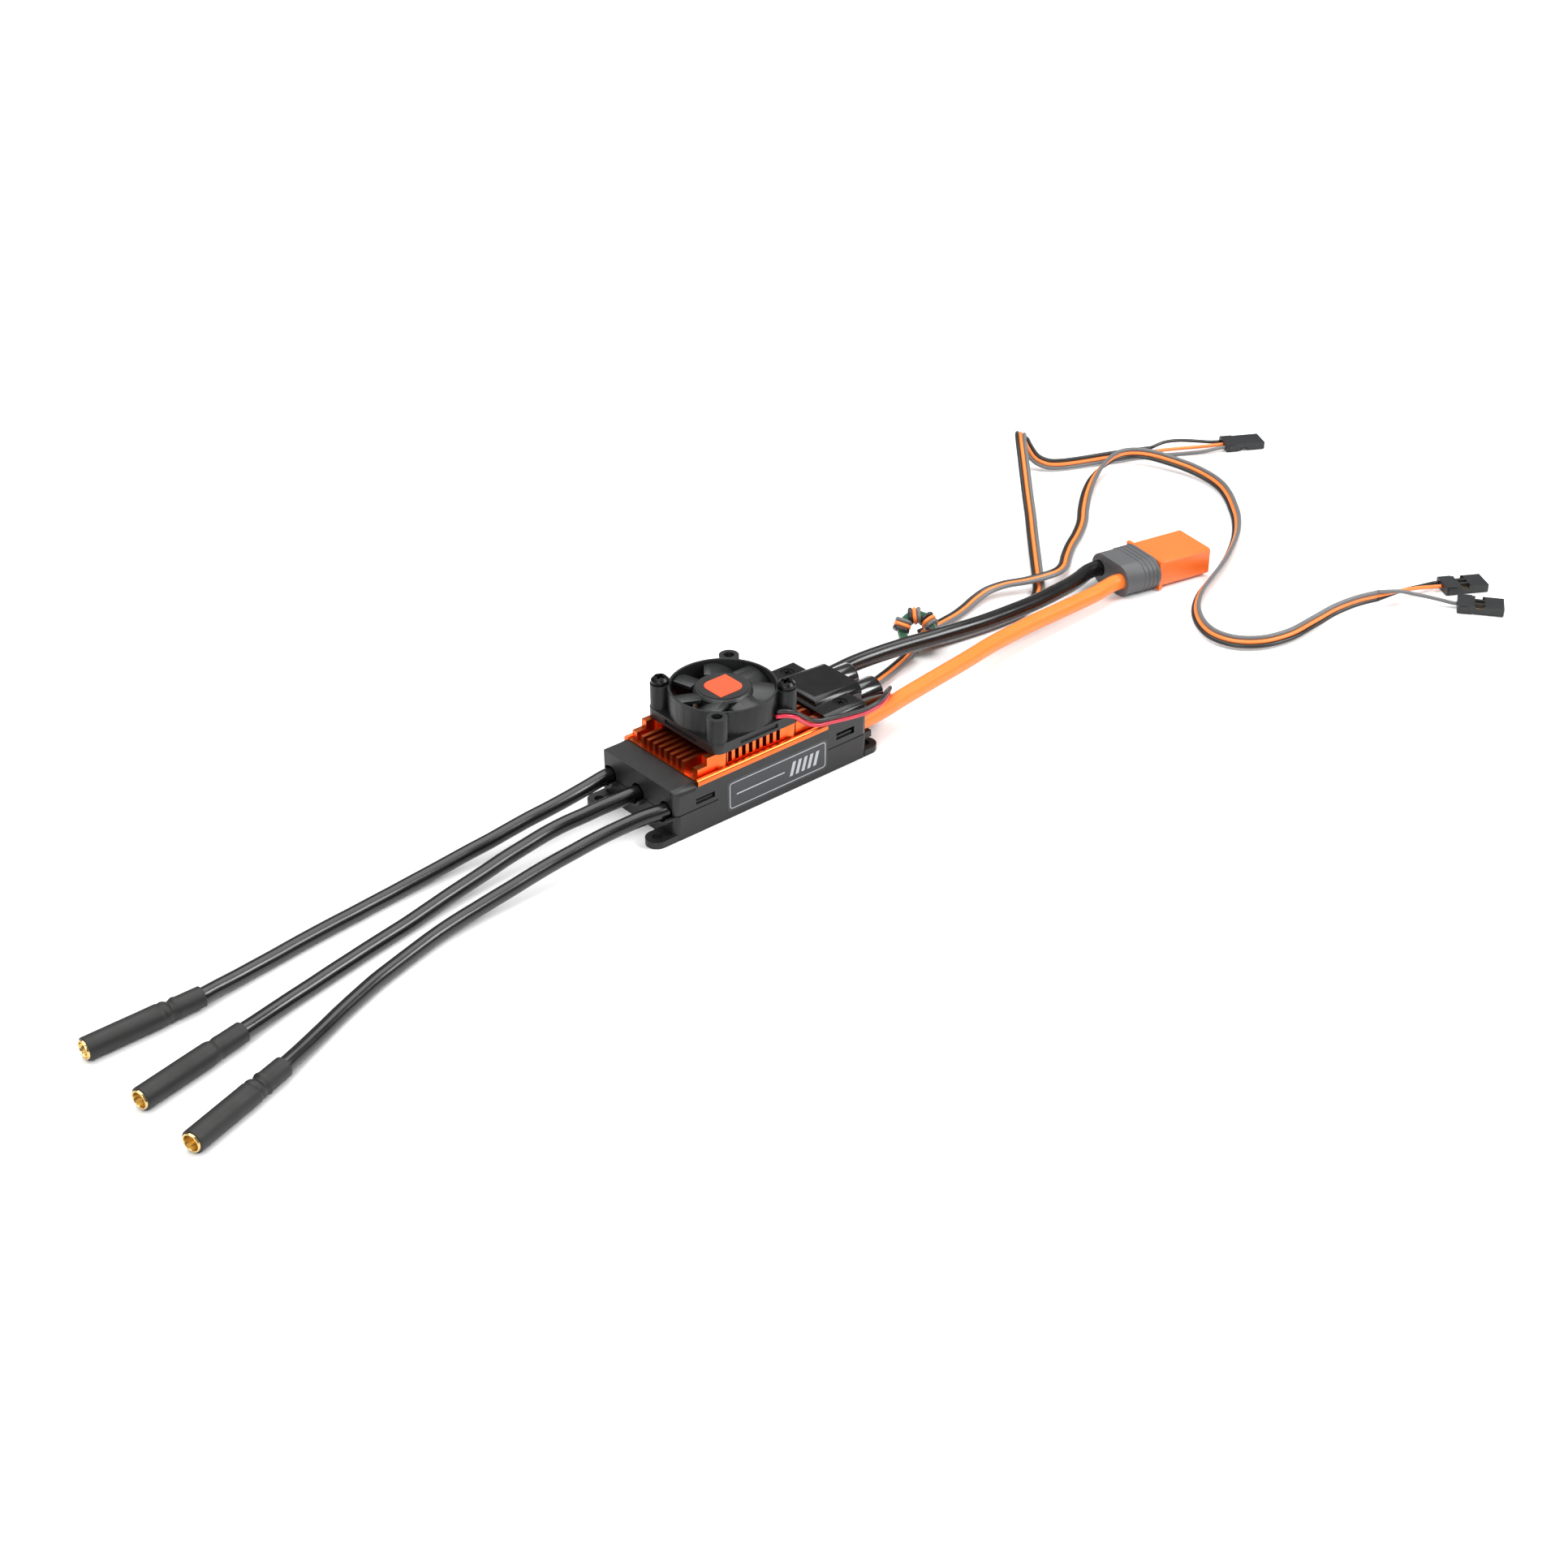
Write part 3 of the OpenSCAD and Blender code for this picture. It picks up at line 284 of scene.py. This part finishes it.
# %% Fan leads
route_red = [(2.1, -14.1, 23.8), (4.2, -15.2, 23.9), (7.1, -16.1, 22.8), (9.6, -15.8, 20.6),
             (12.6, -15.5, 18.3), (15.5, -16.3, 17.2), (20.3, -16.7, 16.6), (26.6, -16.7, 15.5),
             (32.9, -16.7, 14.8), (37.8, -16.4, 15), (41.7, -14.6, 14.6), (45, -12, 13.2), (48, -9.4, 12),
             (49.4, -6.5, 9.6), (49, -4.4, 7), (46.5, -3, 5.2), (42.5, -2.6, 4.6), (38, -2.6, 4.6),
             (34.2, -2.6, 4.6)]
route_dark = [(2.5, -14, 25.1), (4.4, -15, 25.2), (7.3, -15.9, 24.1), (10, -15.6, 21.9),
              (13, -15.5, 19.6), (15.8, -16.3, 18.5), (20.5, -16.7, 17.9), (26.8, -16.7, 16.8),
              (33, -16.7, 16.1), (38.2, -16.2, 16.3), (42.4, -14.1, 15.9), (46, -11.4, 14.5),
              (49.2, -8.6, 13.1), (50.8, -5.5, 10), (50.3, -3.1, 6.6), (47.4, -1.4, 4.8),
              (42.8, -1.2, 4.6), (38, -1.2, 4.6), (34.2, -1.2, 4.6)]
round_cord("fan_lead_red_wire", route_red, THIN_WIRE, pvc_red, "fan_lead_red",
                   sides=12)
round_cord("fan_lead_black_wire", route_dark, THIN_WIRE, pvc_black,
                   "fan_lead_black", sides=12)

# %% [markdown]
# A signal ribbon is three thin wires bonded side by side: black, orange and grey, 3.9 mm wide together. Each
# strand is its own tube in one mesh, so the grooves between them catch the light as they do on the real one.

# %% Signal ribbons
RIBBON = [pvc_black, pvc_orange, pvc_grey]
STRAND = 0.00066
STRAND_PITCH = 0.00129


def ribbon_cord(name, route, node):
    q = smooth_route(route, 1.0)
    t, w, v = route_frames(q)
    verts, faces, mats = [], [], []
    for k, off in enumerate((STRAND_PITCH, 0.0, -STRAND_PITCH)):
        more, quads = tube_data(q[:, :3] + w * off, w, v, STRAND, 12)
        faces += [tuple(i + len(verts) for i in f) for f in quads]
        mats += [k] * len(quads)
        verts += more
    obj = link_mesh(name, verts, faces, RIBBON, mats)
    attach(obj, "controller")
    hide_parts(node)
    return obj


route_feed = [(34.2, 3, 5, 0), (40, 3.4, 4.9, 0), (47, 4.6, 4.4, 0), (54, 6.6, 3.8, 0), (62, 9.7, 3, 0),
              (68, 11.9, 2.4, 0), (73, 13.6, 2.2, 0), (78, 15.2, 2.3, 0), (82, 16.6, 2.8, 0)]
route_a = [(89, 18.6, 2, 0), (96, 17.6, 1.2, 0), (103, 16.6, 0.9, 0), (110, 15.7, 0.8, 0),
           (117, 15.2, 0.8, 0), (124, 15.3, 0.8, 0), (131, 16.6, 0.8, 0), (137, 19, 0.8, 0),
           (142, 22.4, 0.9, 0), (146.6, 27.1, 1.2, 0), (153, 34.2, 1.8, 0), (160, 42, 2.6, 0),
           (167, 49.8, 3.6, 0), (173, 56.4, 4.6, 0), (180, 64.6, 6.6, 0), (186.5, 72.2, 8.9, 0),
           (193, 79.8, 11.3, 0), (199, 86.8, 13.3, 0), (204, 92, 13.2, 5), (207.4, 94, 10.6, 15),
           (208, 92, 7, 35), (208.4, 88.4, 4, 55), (210.5, 84.6, 2.6, 65), (214, 82, 2.3, 70),
           (219, 79.6, 2.3, 70), (225, 77.3, 2.3, 70), (232, 74.8, 2.3, 70), (239, 71.9, 2.3, 70),
           (246, 68.6, 2.3, 70)]
route_b = [(91, 21.6, 4, 0), (97, 23.6, 2.6, 0), (104.5, 25.6, 1.6, 0), (110, 26.6, 1.4, 0),
           (115.4, 27.8, 1.6, 0), (121, 29.2, 2.2, 0), (127, 29.8, 2.9, 0), (133, 28.4, 3.5, 0),
           (139, 25.6, 3.8, 0), (145, 23.9, 3.9, 0), (151, 23.4, 3.9, 0), (157, 26, 3.1, 0),
           (164.5, 31.8, 2, 0), (172, 37, 1.4, 0), (180, 41.6, 1.2, 0), (188, 47, 1.2, 0),
           (195.2, 53.2, 1.5, 0), (204, 60, 2.2, -10), (213, 65.6, 3, -30), (222, 69.4, 3.8, -60),
           (230, 71, 4.3, -85), (236, 69.6, 4.3, -100), (240.4, 65, 4, -115), (243, 58, 3.5, -130),
           (244.8, 50, 2.9, -130), (244.6, 42, 2.5, -130), (242.4, 34.6, 2.4, -130),
           (238.4, 27.8, 2.4, -130), (233, 21, 2.4, -130), (226.4, 13.8, 2.4, -130),
           (217.8, 6.6, 2.4, -125), (208, 0.4, 2.4, -120), (198, -4.8, 2.4, -120),
           (186.6, -9.6, 2.4, -120), (176, -14.2, 2.4, -125), (167, -20.4, 2.4, -125),
           (161, -27.8, 2.4, -125), (158.6, -35, 2.4, -125), (160.4, -42, 2.4, -125),
           (166.6, -47.4, 2.4, -125), (176.3, -49.8, 2.4, -125), (187.6, -49.5, 2.6, -120),
           (197.5, -49.6, 3.4, -105), (206, -51.3, 4.2, -95), (213, -53.5, 4.4, -90)]
ribbon_cord("ribbon_feed_wires", route_feed, "ribbon_feed")

# %% [markdown]
# Where a ribbon nears its receiver plug the three wires part and go their own way into the housing.

# %% Single wires
def receiver_point(plug, x, y):
    a = math.radians(plug[2])
    return (plug[0] + x * math.cos(a) - y * math.sin(a), plug[1] + x * math.sin(a) + y * math.cos(a), 1.5)


CONTACT_PITCH = 2.54
PLUG_A, PLUG_B, PLUG_C = (271.1, 57.5, -28.9), (238.6, -59.3, -30.6), (232.7, -69.5, -53.7)
wires = {
    "wire_a_black": ([(246.3, 68.95, 3.6), (252, 68.2, 4.2), (257.5, 66.4, 3.9), (263, 63.8, 3),
                      (268, 61.4, 2),
                      receiver_point(PLUG_A, -1.5, CONTACT_PITCH),
                      receiver_point(PLUG_A, 0, CONTACT_PITCH)], pvc_black),
    "wire_a_orange": ([(246.1, 68.55, 2.3), (252, 66, 2.2), (258, 63.2, 2), (264, 60.6, 1.7),
                       receiver_point(PLUG_A, -1.5, 0), receiver_point(PLUG_A, 0, 0)], pvc_orange),
    "wire_a_grey": ([(245.9, 68.15, 1), (252, 64.6, 0.8), (257.5, 61.4, 0.8), (263, 58.2, 1),
                     receiver_point(PLUG_A, -1.5, -CONTACT_PITCH),
                     receiver_point(PLUG_A, 0, -CONTACT_PITCH)], pvc_grey),
    "wire_b_black": ([(213.1, -53.5, 3), (220, -54.2, 3), (226, -54.8, 2.8), (232, -55.6, 2.2),
                      receiver_point(PLUG_B, -1.5, CONTACT_PITCH),
                      receiver_point(PLUG_B, 0, CONTACT_PITCH)], pvc_black),
    "wire_b_orange": ([(213.1, -53.5, 4.4), (220, -55.6, 4.4), (226, -56.8, 3.8), (232, -57.6, 2.6),
                       receiver_point(PLUG_B, -1.5, 0), receiver_point(PLUG_B, 0, 0)], pvc_orange),
    "wire_c_grey": ([(213.1, -53.5, 5.8), (219.5, -57, 5.2), (224, -60, 3.8), (228, -63.6, 2.6),
                     receiver_point(PLUG_C, -1.5, 0), receiver_point(PLUG_C, 0, 0)], pvc_grey)}
for node, (route, mat) in wires.items():
    round_wire(node + "_core", route, THIN_WIRE, mat, node, sides=12)[0]
ribbon_cord("ribbon_a_wires", route_a, "ribbon_a")
ribbon_cord("ribbon_b_wires", route_b, "ribbon_b")

# %% [markdown]
# Materials for the carried-over CAD parts. The case is ABS with a fine spark-eroded texture, the rear cap is
# shinier, and the heatsink is an aluminium extrusion that was anodised orange: a metal that keeps the saw's
# and the die's fine lines along its length.

# %% Part materials
case_abs = material("charcoal_abs_textured", "#161617", rough=0.45, ior=1.45, tone=0.08, grain=0.2, bump=0.1)
cap_abs = material("black_abs_satin", "#070707", rough=0.24, ior=1.45, tone=0.12, grain=0.25, bump=0.05)
anodised = material("orange_anodised_aluminium", "#cf5a26", rough=0.29, metal=1.0, tone=0.1, grain=0.25,
                    bump=0.012, smudge=12.0, stretch=(0.04, 1, 1), rough_spread=0.04, second="#dd7840")
pbt = material("black_pbt_fan", "#0f1011", rough=0.42, ior=1.45, tone=0.1, grain=0.25, bump=0.1)
rotor_pbt = material("black_pbt_rotor", "#121314", rough=0.42, tone=0.1, grain=0.3, bump=0.06)
black_steel = material("black_oxide_steel", "#2a2a2b", rough=0.33, metal=1.0, tone=0.2, grain=0.1, bump=0.08)
sleeve = material("black_pet_sleeve", "#0c0c0d", rough=0.16, tone=0.15, grain=0.6, bump=0.03, coat=0.6)
label_film = material("blue_black_label_film", "#1f2126", rough=0.3, tone=0.05, grain=0.5, bump=0.03)
sticker = material("black_sticker_film", "#101010", rough=0.42, tone=0.1, grain=0.4, bump=0.05)
orange_ink = material("orange_screen_ink", "#e2491d", rough=0.5, tone=0.06, grain=0.3, bump=0.06)
boot_pvc = material("grey_soft_pvc_boot", "#4e4f51", rough=0.5, tone=0.06, grain=0.3, bump=0.08)
nylon = material("orange_nylon_shell", "#ee6f2a", rough=0.36, tone=0.04, grain=0.35, bump=0.1, coat=0.1)
nylon.node_tree.nodes["Principled BSDF"].inputs["Subsurface Weight"].default_value = 0.35
nylon.node_tree.nodes["Principled BSDF"].inputs["Subsurface Scale"].default_value = 0.003
gold = material("gold_plated_brass", "#d9bd82", rough=0.2, metal=1.0, tone=0.12, grain=0.2, bump=0.06)
ferrite_coat = material("green_ferrite_lacquer", "#1d5a3a", rough=0.22, tone=0.15, grain=0.5, bump=0.06,
                        coat=0.5)
plug_nylon = material("black_nylon_housing", "#191a1c", rough=0.42, tone=0.15, grain=0.2, bump=0.15)
shrink_mat = material("heat_shrink_polyolefin", "#131110", rough=0.58, tone=0.12, grain=0.45, bump=0.12,
                      smudge=5.0)
solder_mask = material("green_solder_mask", "#1f5a35", rough=0.35, tone=0.1, grain=0.5, bump=0.05, coat=0.3)
epoxy = material("black_moulded_epoxy", "#202022", rough=0.6, tone=0.1, grain=0.15, bump=0.2)
tin = material("tinned_copper", "#b9a489", rough=0.32, metal=1.0, tone=0.12, grain=0.3, bump=0.08)
bronze = material("sintered_bronze", "#a5773a", rough=0.45, metal=1.0, tone=0.15, grain=0.12, bump=0.2)
copper = material("enamelled_copper_wire", "#b3622d", rough=0.3, metal=1.0, tone=0.15, grain=0.15, bump=0.3)
steel = material("ground_steel", "#b9bcc0", rough=0.2, metal=1.0, tone=0.06, grain=0.1, bump=0.05)
magnet = material("bonded_ferrite_magnet", "#2e2e30", rough=0.6, tone=0.12, grain=0.2, bump=0.2)
pale_ink = material("pale_grey_screen_ink", "#a9abb0", rough=0.5, tone=0.05, grain=0.4, bump=0.03)
pad_rubber = material("grey_thermal_pad", "#9098a0", rough=0.8, tone=0.08, grain=0.3, bump=0.3)

# %% [markdown]
# Real edges are never sharp: a mould leaves about 0.15 mm of radius. Each CAD node gets its surface, and all
# but five get a small bevel, which changes no overall size.

# %% Dress the CAD nodes
def dress(node, mat, bevel=0.12, angle=35):
    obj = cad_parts[node]
    obj.data.materials.clear()
    obj.data.materials.append(mat)
    if bevel:
        weld = obj.modifiers.new("weld", "WELD")
        weld.merge_threshold = 0.000004
        flat = obj.modifiers.new("flat", "DECIMATE")
        flat.decimate_type = "DISSOLVE"
        flat.angle_limit = math.radians(0.6)
        edge = obj.modifiers.new("edge", "BEVEL")
        edge.width = bevel / 1000
        edge.segments = 2
        edge.limit_method = "ANGLE"
        edge.angle_limit = math.radians(angle)
        edge.harden_normals = True
    return obj


dress("lower_case", case_abs, 0.2)
dress("front_cap", case_abs, 0.2)
dress("rear_cap", cap_abs, 0.2)
dress("heatsink", anodised, 0)
dress("fan_frame", pbt, 0.15)
dress("fan_rotor", rotor_pbt, 0.1)
dress("fan_screws", black_steel, 0.15)
dress("cap_screws", black_steel, 0.1)
dress("capacitor_1", sleeve, 0.25)
dress("capacitor_2", sleeve, 0.25)
dress("side_label", label_film, 0)
dress("fan_sticker", sticker, 0)
dress("fan_mark", orange_ink, 0)
dress("plug_boot", boot_pvc, 0.3)
dress("plug_shell", nylon, 0.25)
dress("plug_pins", gold, 0.2)
dress("ferrite_ring", ferrite_coat, 0)
for k in "abc":
    dress("receiver_plug_" + k, plug_nylon, 0.12)
dress("plug_contacts", gold, 0.05)
for node, mat in (("power_board", solder_mask), ("control_board", solder_mask), ("power_transistors", epoxy),
                  ("solder_posts", tin), ("thermal_pad", pad_rubber), ("fan_bearing", bronze),
                  ("fan_circuit_board", solder_mask), ("fan_stator", copper), ("fan_shaft", steel),
                  ("fan_magnet_ring", magnet)):
    dress(node, mat, 0.08)

# %% [markdown]
# The bullet sockets are brass turned on a lathe and gold plated, so they are made by turning a profile. The
# heat-shrink is turned too, and then its skin is pinched at the neck, where the tube shrinks off the end of
# the metal onto the thinner wire. Each tube shrank in its own way: the middle one is nearly smooth.

# %% Bullet sockets and heat-shrink
def turned(name, origin, direction, profile, mat, node, skin=None, sides=56):
    # a closed profile of (distance along the axis, radius, is outer skin) spun about the axis
    axis = np.array(direction)
    side = np.cross([0, 0, 1.0], axis)
    side /= np.linalg.norm(side)
    upper = np.cross(axis, side)
    verts, n = [], len(profile)
    for x, r, outer in profile:
        for k in range(sides):
            a = 2 * math.pi * k / sides
            rr = r + (skin(x, a) if skin and outer else 0.0)
            p = (np.array(origin) + [X_SHIFT, 0, 0] + axis * x
                 + (side * math.cos(a) + upper * math.sin(a)) * rr)
            verts.append(tuple(p / 1000.0))
    faces = [(i * sides + k, i * sides + (k + 1) % sides, (i + 1) % n * sides + (k + 1) % sides,
              (i + 1) % n * sides + k) for i in range(n) for k in range(sides)]
    obj = link_mesh(name, verts, faces, [mat])
    shape = bmesh.new()
    shape.from_mesh(obj.data)
    bmesh.ops.recalc_face_normals(shape, faces=shape.faces)
    shape.to_mesh(obj.data)
    shape.free()
    obj.data.set_sharp_from_angle(angle=math.radians(38))
    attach(obj, "controller")
    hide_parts(node)
    return obj


def neck_skin(pinch, turn):
    neck = 8.5

    def skin(x, a):
        face = 0.45 + 0.55 * math.cos(a - turn)
        fold = -0.38 * math.exp(-((x - neck) / 0.7) ** 2) * face
        roll = 0.2 * math.exp(-((x - 7.1) / 0.55) ** 2) * (0.4 + 0.6 * math.cos(2 * a + turn))
        crease = -0.2 * math.exp(-((x - 10.4 - 0.7 * math.cos(a - turn)) / 0.35) ** 2)
        long_wave = 0.03 * math.sin(3 * a + 0.5 * x + turn) * math.exp(-((x - 9.0) / 5.0) ** 2)
        return pinch * (fold + roll + crease + long_wave)
    return skin


socket_profile = [(10.0, 2.3, 0), (10.2, 2.5, 0), (31.0, 2.5, 0), (31.2, 2.4, 0), (31.2, 2.08, 0),
                  (31.05, 2.0, 0), (16.0, 2.0, 0), (16.0, 0.02, 0), (10.0, 0.02, 0)]


def shrink_radius(x):
    return float(np.interp(x, [0, 7.2, 8.6, 9.5, 10.6, 30.7], [2.64, 2.7, 2.62, 2.86, 2.98, 2.98]))


shrink_profile = [(0.0, 2.5, 0)] + [(x, shrink_radius(x), 1) for x in np.arange(0.12, 30.6, 0.3)]
shrink_profile += [(30.62, 2.95, 0), (30.7, 2.86, 0), (30.7, 2.52, 0), (10.2, 2.52, 0), (10.0, 2.14, 0),
                   (0.0, 2.14, 0)]
for k, end, way, pinch, turn in ((1, END_1, DIR_1, 1.0, 1.3), (2, END_2, DIR_2, 0.3, 2.2),
                                 (3, END_3, DIR_3, 1.15, 1.7)):
    turned("bullet_socket_%d_turned" % k, end, way, socket_profile, gold, "bullet_socket_%d" % k)
    turned("heat_shrink_%d_tube" % k, end, way, shrink_profile, shrink_mat, "heat_shrink_%d" % k,
           neck_skin(pinch, turn))

# %% [markdown]
# The ribbon is wound four times round the ferrite ring. Every turn is three strands that hug the lacquered
# section; the first turn is looser than the others, as it was wound by hand.

# %% Ribbon turns on the ferrite ring
def ring_turns():
    at_ring = (Matrix.Translation((X_SHIFT + 87, 20.2, 6.5)) @ Matrix.Rotation(math.radians(-40), 4, "Z")
               @ Matrix.Rotation(math.radians(50), 4, "X"))
    verts, faces, mats = [], [], []
    ring_middle, half_wide, half_tall, pitch = 4.5, 1.85, 2.62, 1.29
    for angle, loose in ((160, 1.1), (95, 1.0), (35, 1.0), (-25, 1.0)):
        turn = at_ring @ Matrix.Rotation(math.radians(angle), 4, "Z")
        for k, off in enumerate((pitch, 0.0, -pitch)):
            centre, w, v = [], [], []
            for a in np.linspace(0, 2 * math.pi, 40, endpoint=False):
                c, s = math.cos(a), math.sin(a)
                x = half_wide * loose * math.copysign(abs(c) ** 0.6, c)
                z = half_tall * loose * math.copysign(abs(s) ** 0.6, s)
                lean = 0.35 * math.sin(a)
                centre.append(tuple((turn @ Vector((ring_middle + x, off + lean, z))) / 1000.0))
                w.append(tuple(turn.to_3x3() @ Vector((0, 1, 0))))
                v.append(tuple(turn.to_3x3() @ Vector((c, 0, s)).normalized()))
            more, quads = tube_data(np.array(centre), np.array(w), np.array(v), STRAND, 12, closed=True)
            faces += [tuple(i + len(verts) for i in f) for f in quads]
            mats += [k] * len(quads)
            verts += more
    obj = link_mesh("ribbon_turns_wires", verts, faces, RIBBON, mats)
    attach(obj, "controller")
    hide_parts("ribbon_turns")


ring_turns()

# %% [markdown]
# The side label is printed film. In place of any lettering it carries a thin pale frame line and a row of
# slanted bars, each a real layer of ink a few hundredths of a millimetre thick.

# %% Label print
def label_print():
    face_y, ink = -15.85, 0.03
    verts, faces = [], []

    def prism(loop):
        n, start = len(loop), len(verts)
        for y in (face_y, face_y - ink):
            verts.extend(((x + X_SHIFT) / 1000, y / 1000, z / 1000) for x, z in loop)
        faces.append(tuple(start + i for i in range(n)))
        faces.append(tuple(start + n + i for i in reversed(range(n))))
        faces.extend((start + i, start + n + i, start + n + (i + 1) % n, start + (i + 1) % n)
                     for i in range(n))

    def rounded(x0, x1, z0, z1, r):
        return [(cx + r * math.cos(math.radians(a)), cz + r * math.sin(math.radians(a)))
                for cx, cz, a0 in ((x1 - r, z1 - r, 0), (x0 + r, z1 - r, 90), (x0 + r, z0 + r, 180),
                                   (x1 - r, z0 + r, 270))
                for a in range(a0, a0 + 91, 15)]

    outer, inner = rounded(-15.6, 18.5, 2.7, 10.7, 1.0), rounded(-15.35, 18.25, 2.95, 10.45, 0.75)
    for i in range(len(outer)):
        j = (i + 1) % len(outer)
        prism([outer[i], outer[j], inner[j], inner[i]])
    for i in range(5):
        x = 5.5 + 2.1 * i
        prism([(x, 4.6), (x + 1.1, 4.6), (x + 2.3, 8.8), (x + 1.2, 8.8)])
    prism([(-13.2, 6.5), (3.6, 6.5), (3.7, 6.85), (-13.1, 6.85)])
    obj = link_mesh("label_print", verts, faces, [pale_ink], smooth=False)
    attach(obj, "controller")


label_print()

# %% [markdown]
# A white table under three large soft lights, with a dim grey room around them: shadows stay faint, and the
# black parts stay black and get their shape from the lights' reflections. The standard view transform keeps
# white paper white and the orange parts as saturated as they are.

# %% Table and light
floor = link_mesh("table", [(-4, -4, 0), (4, -4, 0), (4, 4, 0), (-4, 4, 0)], [(0, 1, 2, 3)],
                  [material("white_table", "#f4f4f4", rough=0.55, tone=0.005, grain=1.0, bump=0.0)])


def soft_light(name, place, target, size, power):
    data = bpy.data.lights.new(name, "AREA")
    data.shape = "RECTANGLE"
    data.size, data.size_y = size
    data.energy = power
    obj = bpy.data.objects.new(name, data)
    bpy.context.scene.collection.objects.link(obj)
    obj.location = place
    obj.rotation_euler = (Vector(target) - Vector(place)).to_track_quat("-Z", "Y").to_euler()
    return obj


soft_light("overhead", (0.1, 0.25, 1.1), (0, 0, 0), (1.5, 1.3), 21)
soft_light("front_left", (-0.75, -0.55, 0.75), (0, 0, 0), (0.6, 0.6), 7)
soft_light("right_fill", (0.75, -0.7, 0.86), (0.05, 0, 0), (0.55, 0.45), 11)
world = bpy.data.worlds.new("studio")
world.use_nodes = True
world.node_tree.nodes["Background"].inputs["Color"].default_value = (1, 1, 1, 1)
world.node_tree.nodes["Background"].inputs["Strength"].default_value = 0.28
bpy.context.scene.world = world
bpy.context.scene.view_settings.view_transform = "Standard"
